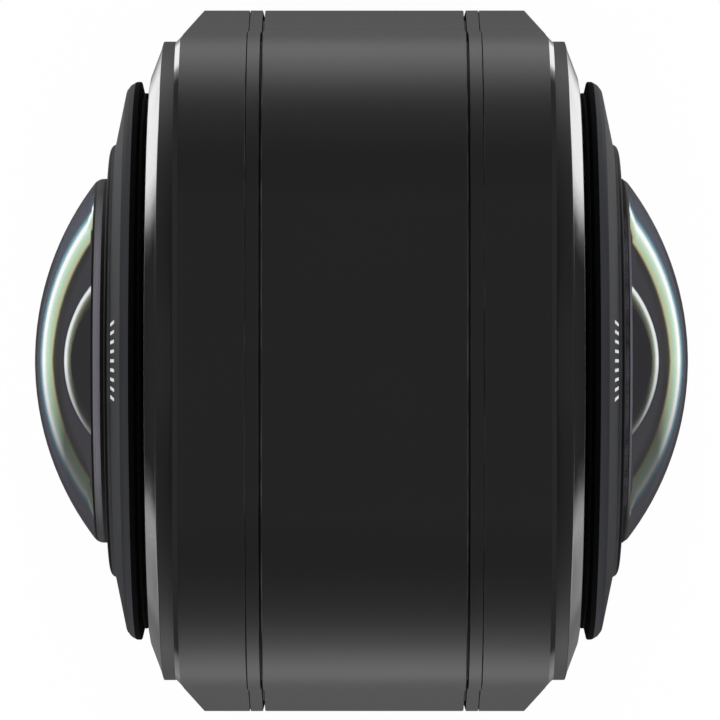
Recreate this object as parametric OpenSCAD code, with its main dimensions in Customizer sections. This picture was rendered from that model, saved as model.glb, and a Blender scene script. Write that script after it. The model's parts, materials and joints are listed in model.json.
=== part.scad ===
// Two-lens 360 degree camera: a tall body with a fisheye lens on the front and on the rear of its head.
// +Z is up, the front lens looks along -Y, the buttons are on +X and the port door is on -X.
// The origin is the mouth of the tripod thread, in the middle of the base.

/* [Body] */
// Width across the shoulders, along X
body_w = 53.2; // [52:0.1:60]
// Thickness between the front and rear faces, along Y
body_t = 27.88; // [27:0.02:34]
// Height from the base to the flat top
body_h = 129.3; // [126:0.1:145]
// Height of the middle module, with the groove above it
core_h = 45; // [43:0.1:48]
// Wall of the moulded frames and covers
wall = 2.0; // [1.7:0.1:2.2]
// Width of the slanted upright edges, along X
edge_run = 2.78; // [1:0.02:3]
// Depth of the slanted upright edges, along Y
edge_drop = 1.8; // [0.6:0.1:2.4]

/* [Head] */
// Height of the lens module
head_h = 54.3; // [53:0.1:58]
// Width of the head above its shoulders
head_w = 49; // [48.8:0.1:51]
// Radius of the two top corners
head_r = 14.2; // [10:0.1:16]
// Depth of the lens axis below the top
lens_drop = 25; // [24.6:0.1:27]
// Depth of the crease where the shoulders start
crease_drop = 17.2; // [16.5:0.1:21]
// Depth at which the shoulders reach the full width
flare_drop = 25.4; // [23:0.1:30]

/* [Seams] */
// Thickness of the centre frames, along Y
frame_t = 15.06; // [14.6:0.02:17]
// Thickness of the seal bands beside the head's centre frame
band_t = 1.15; // [0.8:0.01:1.6]
// Open width of the seam groove
seam_gap = 0.16; // [0.08:0.02:0.3]
// Depth of the seam grooves
seam_depth = 0.8; // [0.4:0.1:1]
// Open width of the hairline between a band and its shell
hairline = 0.05; // [0.04:0.01:0.2]
// Groove between the stacked modules
module_gap = 0.3; // [0.15:0.05:0.6]

/* [Lens stack] */
// Radius of the round face plate
plate_r = 24.2; // [23.6:0.1:24.3]
// Height of the face plate's rim
plate_rim = 1.2; // [1:0.01:1.6]
// Width of the face plate's lip around the bevel ring
lip_w = 0.4; // [0.3:0.05:0.6]
// Rise of the face plate's lip from its rim to the bevel ring
lip_rise = 0.12; // [0.05:0.01:0.2]
// Thickness of the face plate under the bevel ring
plate_floor = 0.7; // [0.5:0.05:0.9]
// Width of the bevel ring's outer slope
slope_w = 2.2; // [1.6:0.05:2.5]
// Rise of the bevel ring's outer slope
slope_rise = 0.83; // [0.6:0.01:0.95]
// Height of the bevel ring above the face plate
bevel_rise = 1.09; // [1:0.01:1.3]
// Radius of the barrel's neck
neck_r = 19.9; // [19.5:0.1:20.2]
// Open width of the neck groove behind the bezel
neck_gap = 0.3; // [0.2:0.05:0.6]
// Height of the seal in the neck groove
seal_h = 0.4; // [0.2:0.05:0.5]
// Outer radius of the bezel
bezel_r = 21.15; // [20.9:0.05:21.6]
// Depth of the slanted back of the bezel's rim
bezel_back = 0.2; // [0.1:0.05:0.4]
// Straight height of the bezel's rim
bezel_rim = 0.35; // [0.2:0.05:0.6]
// Width of the bezel's front edge
bezel_edge = 0.63; // [0.3:0.01:0.9]
// Height of the bezel's front edge
bezel_edge_rise = 0.72; // [0.4:0.02:1]
// Width of the steep part of the bezel's front edge
bezel_knee = 0.25; // [0.1:0.01:0.3]
// Height of the steep part of the bezel's front edge
bezel_knee_rise = 0.43; // [0.2:0.01:0.6]
// Rise of the bezel's cone
bezel_cone = 0.85; // [0.5:0.05:1.2]
// Radius where the bezel meets the retaining ring
ring_r = 16.45; // [16.2:0.05:17]
// Height of the retaining ring above the bezel
ring_rise = 0.55; // [0.45:0.01:1.1]
// Width of the retaining ring's round shoulder
ring_round = 0.7; // [0.3:0.02:1.2]
// Height of the retaining ring's round shoulder
ring_shoulder = 0.46; // [0.3:0.02:0.6]

/* [Optics] */
// Radius of the dome's rim
dome_r = 13.8; // [13.2:0.05:14.1]
// Radius of the dome's outer sphere
dome_outer = 22.2; // [20:0.1:24]
// Radius of the dome's hollow
dome_inner = 9; // [8:0.1:9.4]
// Thickness of the dome at its tip
dome_t = 2.1; // [1.8:0.1:2.8]
// Height of the front dome's tip above its retaining ring
front_tip = 5.65; // [5:0.01:6]
// Height of the rear dome's tip above its retaining ring
rear_tip = 5.21; // [4.6:0.01:6]
// Width of the flange under the retaining ring
dome_flange = 1.4; // [1:0.05:1.6]
// Height of the flange under the retaining ring
dome_flange_h = 0.9; // [0.6:0.05:1.2]
// Radius of the second element
second_r = 9.9; // [9:0.1:10.5]
// Rim height of the second element
second_h = 2.2; // [1.6:0.1:3]
// Radius of the second element's front
second_sphere = 14; // [12:0.1:20]
// Radius of the light path through the barrel
light_r = 8.4; // [8.2:0.1:8.6]
// Width of the image sensor
sensor_w = 13.2; // [12:0.1:13.2]
// Height of the image sensor
sensor_d = 8.8; // [8:0.1:8.8]
// Thickness of the image sensor
sensor_t = 1.2; // [0.8:0.1:1.6]
// Side of the square sensor board
sensor_board = 26; // [20:0.5:26]
// Side of the heat spreader's pad behind a sensor board
pad_w = 19.5; // [16:0.5:20]
// Thickness of the heat spreader's plate
spreader_t = 2.4; // [1.6:0.1:3]

/* [Lens barrel] */
// Radius of the barrel behind its flange
barrel_r = 18.6; // [17.5:0.1:18.8]
// Radius of the flange behind the shell
flange_r = 21.8; // [21:0.1:22]
// Thickness of the flange
flange_t = 1.8; // [1.2:0.1:2.4]
// Distance of the barrel's rear end from the middle of the body
barrel_end = 6; // [5.6:0.1:6.5]
// Radius of the circle through the four screws
screw_ring = 22.4; // [22.2:0.1:22.6]
// Radius of the screw ears and pillars
pillar_r = 2; // [1.7:0.1:2.1]

/* [Core] */
// Width of the display window
window_w = 46; // [44:0.5:47]
// Height of the display window
window_h = 39; // [36:0.5:40]
// Thickness of the display window
window_t = 1.1; // [0.8:0.05:1.3]
// Corner radius of the display window
window_r = 3; // [1.5:0.1:4]
// Width of the display panel
panel_w = 36; // [30:0.5:37]
// Height of the display panel
panel_h = 31; // [26:0.5:32]
// Thickness of the display panel
panel_t = 1.8; // [1.2:0.1:2.4]
// Width of the main board
board_w = 37; // [34:0.5:38]
// Height of the main board
board_h = 36; // [32:0.5:37]
// Thickness of the circuit boards
board_t = 1.2; // [0.8:0.1:1.6]
// Distance of the main board's parts side in front of the middle
board_back = 1.6; // [1.4:0.1:2]
// Distance of the board's posts from its edges
post_inset = 3; // [2.5:0.1:4]
// Distance of the core's screws from the window's sides
screw_side = 1.9; // [1.6:0.1:2.4]
// Distance of the core's screws from the window's upper and lower edges
screw_end = 3.3; // [2.5:0.1:4]
// Width of the connector between the head and the core
head_link_w = 20; // [16:0.5:24]
// Thickness of the connector between the head and the core
head_link_t = 5; // [4:0.1:6]
// Height of the head's connector above the head's floor
head_link_up = 3; // [2:0.1:4]

/* [Sound] */
// Radius of the microphone holes
mic_hole_r = 0.5; // [0.3:0.05:0.8]
// Radius of a microphone
mic_r = 2; // [1.5:0.1:2.5]
// Thickness of a microphone
mic_t = 1.2; // [0.8:0.1:2]
// Distance of the microphones from the middle
mic_x = 9; // [7:0.5:11]
// Distance of the microphones below the core's top
mic_drop = 6; // [5:0.1:8]
// Width of the loudspeaker
speaker_w = 15; // [12:0.5:18]
// Height of the loudspeaker
speaker_h = 10; // [8:0.5:12]
// Thickness of the loudspeaker
speaker_t = 3; // [2:0.1:4]
// Height of the loudspeaker's middle above the core's floor
speaker_up = 11; // [9:0.5:14]
// Number of slots in front of the loudspeaker
slot_n = 5; // [3:1:7]
// Distance from slot to slot
slot_step = 2.2; // [1.8:0.1:2.6]
// Width of a slot
slot_w = 0.9; // [0.6:0.1:1.2]
// Height of a slot
slot_h = 6; // [4:0.1:7]

/* [Buttons] */
// Radius of the shutter button
shutter_r = 4.6; // [4:0.1:5]
// Clear distance of the shutter button's flange below the screw pillar
shutter_gap = 0.5; // [0.3:0.1:1.5]
// Radius of the power button
power_r = 2.8; // [2.4:0.1:3.2]
// Clear distance between the flanges of the two buttons
button_space = 2.4; // [1:0.1:4]
// Width of the flange that keeps a button in
button_lip = 1; // [0.6:0.1:1.4]
// How far the button faces lie below the side
button_set = 0.3; // [0.1:0.05:0.6]
// How far the buttons travel
button_travel = 0.6; // [0.3:0.05:0.7]
// Depth of the dish in the button faces
button_dish = 0.25; // [0.1:0.05:0.3]
// Thickness of the side wall around the buttons
button_wall = 3.2; // [2.8:0.1:3.6]
// Thickness of the flange that keeps a button in
button_flange = 0.7; // [0.5:0.05:1]
// Depth of a switch, along X
switch_d = 5; // [4:0.1:6]
// Width of a switch, along Y
switch_w = 3.4; // [2.8:0.1:4]
// Height of a switch, along Z
switch_h = 4; // [3:0.1:5]

/* [Port door] */
// Width of the door, along Y
door_w = 11; // [10:0.1:11.4]
// Height of the door above its hinge pin
door_h = 15; // [13.5:0.1:16]
// Thickness of the door
door_t = 1.2; // [1:0.05:1.4]
// Height of the hinge pin above the core's floor
hinge_up = 12; // [10:0.5:14]
// Radius of the hinge knuckle
knuckle_r = 1.1; // [1:0.05:1.3]
// Radius of the hinge pin
pin_r = 0.5; // [0.4:0.05:0.6]
// Thickness of the side wall around the port
door_wall = 4; // [3.5:0.1:5]
// Height of that wall beyond the door's recess
door_margin = 2; // [1.5:0.1:3]
// Radius of the thumb scoop above the door
scoop_r = 4; // [3:0.1:5]
// Depth of the thumb scoop
scoop_d = 1; // [0.6:0.1:1.2]
// Height of the scoop's middle above the door
scoop_up = 0.8; // [0.4:0.1:1.5]
// Depth of the rubber plug behind the door
plug_t = 0.9; // [0.6:0.1:1.1]
// Height of the rubber plug above the hinge pin
plug_rise = 2.4; // [2:0.1:3]
// Edge of the door around the rubber plug
plug_margin = 0.7; // [0.5:0.05:1]
// Width of the socket's shell, along Z
socket_w = 8.94; // [8.5:0.02:9.2]
// Height of the socket's shell, along Y
socket_h = 3.2; // [2.8:0.05:3.2]
// Depth of the socket's shell, along X
socket_d = 7.3; // [6.5:0.1:8]
// Thickness of the socket's shell
socket_wall = 0.3; // [0.2:0.05:0.4]
// Thickness of the socket's closed back
socket_back = 1; // [0.6:0.1:1.5]
// Thickness of the contact tongue
tongue_t = 0.7; // [0.5:0.05:0.9]
// Width of the contact tongue
tongue_w = 6.74; // [6:0.02:7]
// Distance of the contact tongue behind the mouth
tongue_set = 0.6; // [0.4:0.1:1]

/* [Battery base] */
// Size of the slanted lower edges
foot_edge = 1.2; // [0.6:0.1:1.5]
// Thickness of the floor
floor_t = 3; // [2:0.1:4]
// Thickness of the lid
lid_t = 1.6; // [1.2:0.1:2]
// Width of the latch pad, along Y
latch_w = 7; // [6:0.1:8]
// Height of the latch pad, along Z
latch_h = 6; // [5:0.1:7]
// Travel of the latch
latch_travel = 3; // [2.6:0.1:3.2]
// Depth of the recess for the latch pad
latch_recess = 1; // [0.8:0.05:1.1]
// Depth of the latch below the top of the base
latch_drop = 7.5; // [7:0.1:9]
// Thickness of the latch's inner blade
blade_t = 1.1; // [0.9:0.1:1.3]
// Width of the latch's inner blade
blade_w = 4; // [3.6:0.1:4.4]
// Width of the blade's neck
blade_neck = 2; // [1.6:0.1:2.4]
// Width and height of the ribs on the latch pad
rib = 0.35; // [0.25:0.05:0.4]
// Number of ribs on the latch pad
rib_n = 5; // [3:1:7]
// Length of the ribs on the latch pad
rib_l = 4; // [3:0.1:5]
// How far the blade's nose reaches over the core's floor
nose_in = 1.2; // [0.8:0.1:1.5]
// Thickness of the blade's nose
nose_t = 1; // [0.8:0.1:1.4]
// Width of the connector between the base and the core
base_link_w = 16; // [12:0.5:20]
// Thickness of the connector between the base and the core
base_link_t = 4; // [3:0.1:5]
// Depth of the base's connector below the lid
link_seat = 1.2; // [0.8:0.1:2]

/* [Tripod socket] */
// Radius of the tapped hole, for a 1/4 inch thread with 20 turns an inch
thread_r = 2.55; // [2.5:0.01:2.65]
// Depth of the tapped hole
thread_l = 8; // [6.5:0.1:9]
// Radius of the metal insert
insert_r = 5; // [4.5:0.1:6]
// Radius of the boss around the insert
boss_r = 7.5; // [7:0.1:8.5]
// Thickness of the boss above the insert
boss_cap = 1.6; // [1.2:0.1:2]

/* [Fits] */
// Clearance between assembled pieces
slip = 0.1; // [0.06:0.01:0.15]
// Clearance around pieces that move
moving = 0.15; // [0.12:0.01:0.2]
// Running clearance of the hinge pin
running = 0.04; // [0.02:0.01:0.08]
// Radius of the screw shanks
screw_r = 0.8; // [0.7:0.05:0.9]
// Radius of the screw heads
screw_head = 1.3; // [1.1:0.05:1.4]
// Thickness of the screw heads
screw_head_t = 0.8; // [0.6:0.05:1]
// Depth to which the head's screws reach into their pillars
screw_bite = 2.5; // [2:0.1:3]
// Free depth beyond the tip of a screw
screw_free = 0.5; // [0.3:0.1:1]
// Closed floor at the end of a blind screw hole
screw_floor = 1; // [0.8:0.1:1.4]

/* [Hidden] */
$fn = 96;
eps = 0.01;
long = 200;
// How far a cut runs past the face that it opens
over = 1;
// How far shapes of one piece sink into each other
fuse = 0.5;

black = "#232324";
satin = "#2a2a2c";
gloss = "#101012";
grey = "#3b3d40";
rubber = "#0c0c0d";
glass = "#5a6a66";
steel = "#9a9ca0";
brass = "#b59a58";
board_green = "#1f4a34";

// Heights along Z
lens_z = body_h - lens_drop;
head_z = body_h - head_h;
crease_z = body_h - crease_drop;
flare_z = body_h - flare_drop;
core_top = head_z - module_gap;
base_h = head_z - core_h;
base_top = base_h - module_gap;
core_mid = (base_h + core_top) / 2;
shutter_z = core_place(1, 1)[1] - pillar_r - shutter_gap - button_lip - shutter_r;
power_z = shutter_z - shutter_r - power_r - 2 * button_lip - button_space;
hinge_z = base_h + hinge_up;
latch_z = base_top - latch_drop;
boss_top = thread_l + boss_cap;

// Sizes of the door's plug
plug_w = door_w - 2 * plug_margin;
plug_h = door_h - plug_rise - plug_margin;

// Distances from the middle of the body, along Y
face = body_t / 2;
band_in = frame_t / 2;
band_out = band_in + band_t;
inner_face = face - wall;
flange_back = inner_face - flange_t;
rim_y = face + plate_rim;
plate_y = rim_y + lip_rise;
bevel_y = plate_y + bevel_rise;
neck_y = bevel_y + neck_gap;
edge_y = neck_y + bezel_back + bezel_rim;
cone_y = edge_y + bezel_edge_rise;
bezel_y = cone_y + bezel_cone;
ring_y = bezel_y + ring_rise;
second_y = neck_y - slip - second_sphere + sqrt(pow(second_sphere, 2) - pow(second_r, 2));

// Radius where the face plate's lip meets the bevel ring
bevel_r = plate_r - lip_w;

// Distances from the middle of the body, along X
side = body_w / 2;
inner_side = side - wall;
button_x = side - button_set;
flange_x = side - button_wall - slip;
stem_x = flange_x - button_flange;
switch_x = stem_x - 2 * button_travel - slip;
pin_x = side - knuckle_r;
pocket_x = side - door_t - moving;
blade_x = inner_side - moving - blade_t;

function screw_place(right, up) = [right * screw_ring * cos(45), lens_z + up * screw_ring * sin(45)];
function core_place(right, up) =
    [right * (window_w / 2 - screw_side), core_mid + up * (window_h / 2 - screw_end)];

// Turns local x, y, z into X, Z and the distance from the middle, on the front or the rear
module facing(where)
    rotate([0, 0, where == "rear" ? 180 : 0])
        rotate([90, 0, 0])
            children();

module on_lens(where) facing(where) translate([0, lens_z, 0]) children();

module turned(points) rotate_extrude() polygon(points);

module tube(r, from, to) translate([0, 0, from]) cylinder(r = r, h = to - from);

// A solid between two distances from the middle, with its outline drawn in X and Z
module slab(from, to) translate([0, 0, from]) linear_extrude(to - from) children();

module bar(size, from, to) slab(from, to) square(size, center = true);

module round_rect(w, h, r) {
    square([w - 2 * r, h], center = true);
    square([w, h - 2 * r], center = true);
    for (x = [-1, 1], y = [-1, 1])
        translate([x * (w / 2 - r), y * (h / 2 - r)]) circle(r);
}

// Section of the whole body seen from above, with slanted upright edges
module plan() {
    flat_x = side - edge_run;
    flat_y = face - edge_drop;
    polygon([
        [flat_x, face], [side, flat_y], [side, -flat_y], [flat_x, -face],
        [-flat_x, -face], [-side, -flat_y], [-side, flat_y], [-flat_x, face]
    ]);
}

module within_plan() {
    intersection() {
        children();
        linear_extrude(long) plan();
    }
}

// Outline of the head seen from the front, moved inwards by an inset
module head_outline(inset = 0) {
    top_x = head_w / 2 - inset;
    top_z = body_h - inset;
    wide_x = side - inset;
    low_z = head_z + inset;
    difference() {
        polygon([
            [-top_x, top_z], [top_x, top_z], [top_x, crease_z], [wide_x, flare_z],
            [wide_x, low_z], [-wide_x, low_z], [-wide_x, flare_z], [-top_x, crease_z]
        ]);
        for (x = [-1, 1])
            translate([x * (head_w / 2 - head_r), body_h - head_r]) corner_waste(head_r - inset, x);
    }
}

// What a round corner leaves over in its square
module corner_waste(r, x) {
    difference() {
        translate([x > 0 ? 0 : -r - 1, 0]) square([r + 1, r + 1]);
        circle(r);
    }
}

module head_ring(outer, inner) {
    difference() {
        head_outline(outer);
        head_outline(inner);
    }
}

// Outline of the core seen from the front, moved inwards by an inset
module core_outline(inset = 0) {
    translate([inset - side, base_h + inset])
        square([body_w - 2 * inset, core_top - base_h - 2 * inset]);
}

// Block on the middle of the body, for the connectors between the modules and for their openings
module link(w, t, from, to) translate([-w / 2, -t / 2, from]) cube([w, t, to - from]);

module link_hole(w, t, from, to) link(w + 2 * slip, t + 2 * slip, from - over, to + over);

module head_frame() color(satin) {
    difference() {
        union() {
            within_plan() facing("front") slab(-band_in, band_in) head_ring(0, wall);
            for (x = [-1, 1], z = [-1, 1])
                pillar(screw_place(x, z), x, z);
        }
        for (x = [-1, 1], z = [-1, 1], where = ["front", "rear"])
            facing(where) translate(screw_place(x, z))
                tube(screw_r + slip / 2, band_in - screw_bite - screw_free, long);
        link_hole(head_link_w, head_link_t, head_z, head_z + wall);
    }
}

// Screw pillar with a web to the nearest wall of the centre frame
module pillar(place, x, z) {
    web = pillar_r;
    reach = side;
    facing("front") translate(place) tube(pillar_r, -flange_back, flange_back);
    intersection() {
        facing("front") translate(place) rotate(z > 0 ? 90 - 45 * x : 90 - 90 * x)
            translate([0, -web / 2, -band_in / 2]) cube([reach, web, band_in]);
        facing("front") slab(-band_in, band_in) head_outline(wall / 2);
    }
}

module head_shell(where) color(black) {
    difference() {
        within_plan() facing(where) slab(band_out, face) head_outline();
        facing(where) slab(band_out - over, inner_face) head_outline(wall);
        on_lens(where) tube(neck_r + slip, inner_face - over, face + over);
        for (x = [-1, 1], z = [-1, 1])
            facing(where) translate(screw_place(x, z)) {
                tube(screw_r + slip, inner_face - over, face + over);
                tube(screw_head + slip, face - screw_head_t, face + over);
            }
    }
}

// Seal between the centre frame and a shell: a narrow strip outside and a wider one behind it
module seal_band(where) color(black) {
    within_plan() facing(where) {
        slab(band_in + seam_gap, band_out - hairline) head_ring(0, seam_depth + eps);
        slab(band_in, band_out) head_ring(seam_depth, wall);
    }
}

module face_plate(where) color(black) on_lens(where) {
    bore = neck_r + slip;
    seat = face + plate_floor;
    turned([
        [bore, face], [plate_r, face], [plate_r, rim_y],
        [bevel_r, plate_y], [bevel_r, seat], [bore, seat]
    ]);
}

module bevel_ring(where) color(gloss) on_lens(where) {
    bore = neck_r + slip;
    outer = bevel_r - slip / 2;
    seat = face + plate_floor;
    turned([
        [bore, seat], [outer, seat], [outer, plate_y],
        [outer - slope_w, plate_y + slope_rise], [bore, bevel_y]
    ]);
}

module neck_seal(where) color(rubber) on_lens(where) {
    inner = neck_r + slip / 4;
    turned([
        [inner, bevel_y + slip / 4], [neck_r + seal_h, bevel_y + slip / 4],
        [neck_r + seal_h, neck_y - slip / 4], [inner, neck_y - slip / 4]
    ]);
}

module lens_bezel(where) color(grey) on_lens(where) {
    turned([
        [ring_r, neck_y], [neck_r + seal_h, neck_y], [bezel_r, neck_y + bezel_back],
        [bezel_r, edge_y], [bezel_r - bezel_knee, edge_y + bezel_knee_rise],
        [bezel_r - bezel_edge, cone_y], [ring_r, bezel_y]
    ]);
}

module retaining_ring(where) color(grey) on_lens(where) {
    outer = ring_r - slip / 2;
    inner = dome_r + slip;
    lip = neck_y + dome_flange_h + slip / 2;
    shoulder = [
        for (a = [0:15:90])
            [outer - ring_round * (1 - cos(a)), bezel_y + ring_shoulder * sin(a)]
    ];
    difference() {
        turned(concat([[inner, neck_y], [outer, neck_y]], shoulder, [[inner, ring_y]]));
        tube(dome_r + dome_flange + slip, neck_y - over, lip);
    }
}

// Deeply hollowed front glass with a flange under the retaining ring
module dome_lens(where) color(glass) on_lens(where) {
    tip = ring_y + (where == "front" ? front_tip : rear_tip);
    difference() {
        union() {
            tube(dome_r + dome_flange, neck_y, neck_y + dome_flange_h);
            intersection() {
                tube(dome_r, neck_y, long);
                translate([0, 0, tip - dome_outer]) sphere(dome_outer);
            }
        }
        translate([0, 0, tip - dome_t - dome_inner]) sphere(dome_inner);
    }
}

module second_element(where) color(glass) on_lens(where) {
    intersection() {
        tube(second_r, second_y - second_h, long);
        translate([0, 0, neck_y - slip - second_sphere]) sphere(second_sphere);
    }
}

module lens_barrel(where) color(rubber) {
    difference() {
        union() {
            on_lens(where) {
                tube(barrel_r, barrel_end, inner_face);
                tube(flange_r, flange_back, inner_face);
                tube(neck_r, flange_back, neck_y);
            }
            for (x = [-1, 1], z = [-1, 1])
                facing(where) translate(screw_place(x, z)) tube(pillar_r, flange_back, inner_face);
        }
        on_lens(where) {
            tube(light_r, barrel_end - over, neck_y + over);
            tube(second_r + slip, second_y - second_h, neck_y + over);
        }
        for (x = [-1, 1], z = [-1, 1])
            facing(where) translate(screw_place(x, z))
                tube(screw_r + slip, flange_back - over, inner_face + over);
    }
}

module image_sensor(where) color(gloss) on_lens(where)
    bar([sensor_w, sensor_d], barrel_end, barrel_end + sensor_t);

module sensor_circuit(where) color(board_green) on_lens(where)
    bar([sensor_board, sensor_board], barrel_end - board_t, barrel_end);

// Metal plate across the centre frame, with a raised pad behind each sensor board
module heat_spreader() color(steel) {
    pad = barrel_end - board_t - slip;
    plate_w = head_w - 2 * wall - 2 * slip;
    low = lens_z - sensor_board / 2;
    high = body_h - head_r;
    facing("front") translate([-plate_w / 2, low, -spreader_t / 2]) cube([plate_w, high - low, spreader_t]);
    on_lens("front") bar([pad_w, pad_w], -pad, pad);
}

module head_screws() color(steel) {
    for (x = [-1, 1], z = [-1, 1], where = ["front", "rear"])
        facing(where) translate(screw_place(x, z)) {
            tube(screw_r, band_in - screw_bite, face - screw_head_t);
            tube(screw_head, face - screw_head_t, face);
        }
}

module head_connector() color(gloss)
    link(head_link_w, head_link_t, core_mid + board_h / 2, head_z + wall + head_link_up);

module core_frame() color(satin) {
    difference() {
        union() {
            within_plan() facing("front") slab(-band_in, band_in) {
                difference() {
                    core_outline();
                    core_outline(wall);
                }
            }
            core_land();
            for (x = [-1, 1], z = [-1, 1])
                core_pillar(core_place(x, z), x);
            button_pad(shutter_z, shutter_r);
            button_pad(power_z, power_r);
            door_pad();
        }
        for (x = [-1, 1], z = [-1, 1])
            facing("front") translate(core_place(x, z))
                tube(screw_r + slip, -band_in - over, band_in + over);
        button_bore(shutter_z, shutter_r);
        button_bore(power_z, power_r);
        door_pocket();
        link_hole(head_link_w, head_link_t, core_top - wall, head_z);
        link_hole(base_link_w, base_link_t, base_h, base_h + wall);
        latch_keyway();
    }
}

// Raised land on which the head module sits, which leaves a groove around it
module core_land() {
    inset = seam_depth;
    translate([inset - side, -band_in, core_top - eps])
        cube([body_w - 2 * inset, frame_t, module_gap + eps]);
}

module core_pillar(place, x) {
    facing("front") translate(place) tube(pillar_r, -band_in, band_in);
    facing("front") translate(place) rotate(90 - 90 * x)
        translate([0, -pillar_r / 2, -band_in / 2])
            cube([inner_side - place[0] * x + fuse, pillar_r, band_in]);
}

// A cylinder that points along +X
module along_x(r, from, to, z) translate([from, 0, z]) rotate([0, 90, 0]) cylinder(r = r, h = to - from);

module button_pad(z, r) along_x(r + wall, side - button_wall, inner_side + fuse, z);

module button_bore(z, r) along_x(r + moving, side - button_wall - over, side + over, z);

// Press button with a dished face, a retaining flange and a stem that meets its switch
module button(z, r) {
    dish_r = (r * r + button_dish * button_dish) / (2 * button_dish);
    difference() {
        along_x(r, flange_x - eps, button_x, z);
        translate([button_x + dish_r - button_dish, 0, z]) sphere(dish_r);
    }
    along_x(r + button_lip, stem_x, flange_x, z);
    along_x(r / 3, stem_x - button_travel, stem_x + eps, z);
}

module shutter_button() color(grey) button(shutter_z, shutter_r);

module power_button() color(grey) button(power_z, power_r);

// Side-push switches on the edge of the main board
module button_switches() color(steel) {
    for (z = [shutter_z, power_z])
        translate([switch_x - switch_d, -board_back, z - switch_h / 2])
            cube([switch_d, switch_w, switch_h]);
}

module core_cover(where) {
    difference() {
        within_plan() facing(where) {
            slab(band_in + seam_gap, face) core_outline();
            slab(band_in, band_in + seam_gap + eps) core_outline(seam_depth);
        }
        facing(where) slab(band_in - over, inner_face) core_outline(wall);
    }
}

module cover_post(where, from) {
    for (x = [-1, 1], z = [-1, 1])
        facing(where) translate(core_place(x, z)) tube(pillar_r, from, inner_face + fuse);
}

// Posts that hold the main board by its corners, in front of it
module board_posts() {
    for (x = [-1, 1], z = [-1, 1])
        facing("front")
            translate([x * (board_w / 2 - post_inset), core_mid + z * (board_h / 2 - post_inset)])
                tube(pillar_r, board_back + board_t, inner_face + fuse);
}

module core_front_cover() color(black) {
    difference() {
        union() {
            core_cover("front");
            cover_post("front", band_in);
            board_posts();
        }
        for (x = [-1, 1], z = [-1, 1])
            facing("front") translate(core_place(x, z))
                tube(screw_r + slip / 2, band_in - over, inner_face - screw_floor);
        facing("front") slab(inner_face - over, face + over) sound_holes();
    }
}

// Microphone holes and loudspeaker slots in the front cover
module sound_holes() {
    for (x = [-1, 1])
        translate([x * mic_x, core_top - mic_drop]) circle(mic_hole_r);
    for (i = [0:slot_n - 1])
        translate([(i - (slot_n - 1) / 2) * slot_step, base_h + speaker_up])
            round_rect(slot_w, slot_h, slot_w / 2 - eps);
}

module microphones() color(steel) facing("front")
    for (x = [-1, 1])
        translate([x * mic_x, core_top - mic_drop]) tube(mic_r, inner_face - mic_t, inner_face);

module speaker() color(rubber) facing("front") translate([0, base_h + speaker_up])
    slab(inner_face - speaker_t, inner_face) round_rect(speaker_w, speaker_h, speaker_h / 4);

module core_rear_cover() color(black) {
    difference() {
        union() {
            core_cover("rear");
            cover_post("rear", band_in);
        }
        facing("rear") translate([0, core_mid, 0]) {
            slab(face - window_t, face + over)
                round_rect(window_w + 2 * slip, window_h + 2 * slip, window_r + slip);
            bar([panel_w + 2 * slip, panel_h + 2 * slip], band_in - over, face + over);
        }
        for (x = [-1, 1], z = [-1, 1])
            facing("rear") translate(core_place(x, z)) {
                tube(screw_r + slip, band_in - over, face);
                tube(screw_head + slip, face - window_t - screw_head_t, face);
            }
    }
}

module display_window() color(gloss) facing("rear") translate([0, core_mid, 0])
    slab(face - window_t, face) round_rect(window_w, window_h, window_r);

module display_panel() color(gloss) facing("rear") translate([0, core_mid, 0])
    bar([panel_w, panel_h], face - window_t - panel_t, face - window_t);

module main_board() color(board_green) facing("front") translate([0, core_mid, 0])
    bar([board_w, board_h], board_back, board_back + board_t);

// Long screws from under the display window, through the centre frame and into the front cover
module core_screws() color(steel) {
    for (x = [-1, 1], z = [-1, 1])
        facing("rear") translate(core_place(x, z)) {
            tube(screw_r, screw_floor + screw_free - inner_face, face - window_t - screw_head_t);
            tube(screw_head, face - window_t - screw_head_t, face - window_t);
        }
}

// Thicker wall around the port
module door_pad() {
    translate([-inner_side - fuse, -band_in, hinge_z - knuckle_r - door_margin])
        cube([door_wall - wall + fuse, frame_t, door_h + knuckle_r + 2 * door_margin]);
}

// Recess for the door and its knuckle, a window for the plug, and holes for the pin
module door_pocket() {
    half = door_w / 2 + moving;
    low = hinge_z - knuckle_r - moving;
    plug_low = hinge_z + plug_rise - moving;
    translate([-side - over, -half, low]) cube([side + over - pin_x, 2 * half, hinge_z - low]);
    translate([-side - over, -half, hinge_z]) cube([side + over - pocket_x, 2 * half, door_h + moving]);
    hinge_rod(knuckle_r + moving, half);
    hinge_rod(pin_r + slip / 4, band_in + over);
    translate([-side, -plug_w / 2 - moving, plug_low])
        cube([door_wall + over, plug_w + 2 * moving, plug_h + 2 * moving]);
    translate([scoop_d - scoop_r - side, 0, hinge_z + door_h + scoop_up]) sphere(scoop_r);
}

// A cylinder on the hinge axis, which runs along Y
module hinge_rod(r, half)
    translate([-pin_x, half, hinge_z]) rotate([90, 0, 0]) cylinder(r = r, h = 2 * half);

module port_door() color(black) {
    difference() {
        union() {
            hinge_rod(knuckle_r, door_w / 2);
            translate([-side, -door_w / 2, hinge_z]) cube([door_t, door_w, door_h]);
        }
        hinge_rod(pin_r + running, door_w);
    }
}

module port_door_plug() color(rubber)
    translate([-side + door_t, -plug_w / 2, hinge_z + plug_rise]) cube([plug_t, plug_w, plug_h]);

module port_door_pin() color(steel) hinge_rod(pin_r, band_in - slip);

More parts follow.
